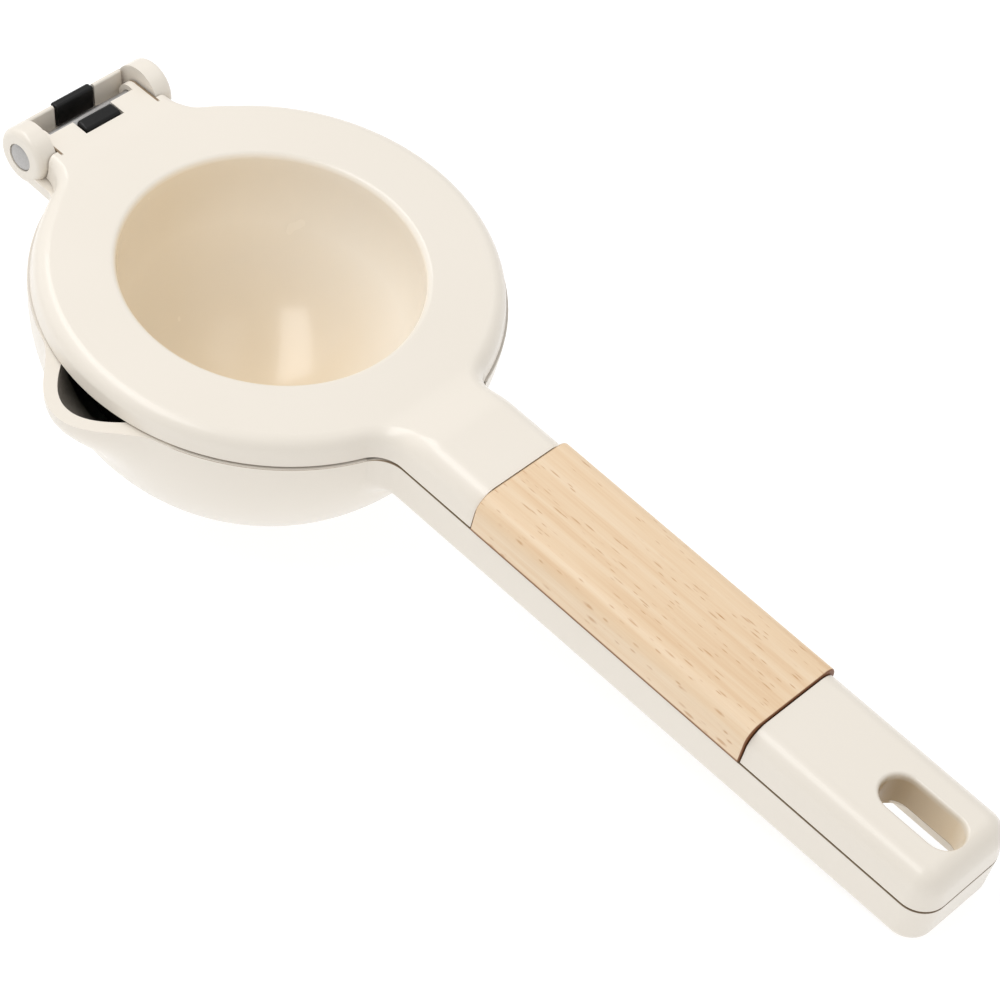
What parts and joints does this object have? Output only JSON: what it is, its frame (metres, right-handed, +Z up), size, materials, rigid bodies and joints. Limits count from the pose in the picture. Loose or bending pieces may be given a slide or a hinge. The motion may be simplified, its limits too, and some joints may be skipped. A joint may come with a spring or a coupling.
{
  "type": "lemon squeezer",
  "caption": "Hand lemon squeezer: a hinged press arm with a hollow dome and a beech grip over a cup arm with a removable strainer, a side pouring lip and a hanging slot.",
  "frame": {"origin": "centre of the bounds' footprint, on the table under the closed squeezer", "axes": "+X along the arms from the hinge towards the tail, +Y away from the pouring lip, +Z up"},
  "size_m": [0.2154, 0.093, 0.0606],
  "materials": {
    "cream_coating": "smooth semi-gloss coating on cast aluminium",
    "beech": "fine sanded and oiled",
    "stainless_steel": "ground",
    "black_silicone": "satin",
    "black_nylon": "fine matt"
  },
  "bodies": {
    "cup_body": {"cup_arm": "cream_coating", "hinge_pin": "stainless_steel", "cup_stop_pad": "black_silicone", "strainer": "black_nylon"},
    "press_body": {"press_arm": "cream_coating", "wood_grip": "beech", "grip_screw_1": "stainless_steel", "grip_screw_2": "stainless_steel", "press_stop_pad": "black_silicone"}
  },
  "joints": [
    {"name": "press_hinge", "type": "hinge", "parent": "cup_body", "child": "press_body", "pos_m": [-0.10218, 0.00355, 0.05511], "axis": [0, -1, 0], "range_deg": [0, 100]}
  ]
}
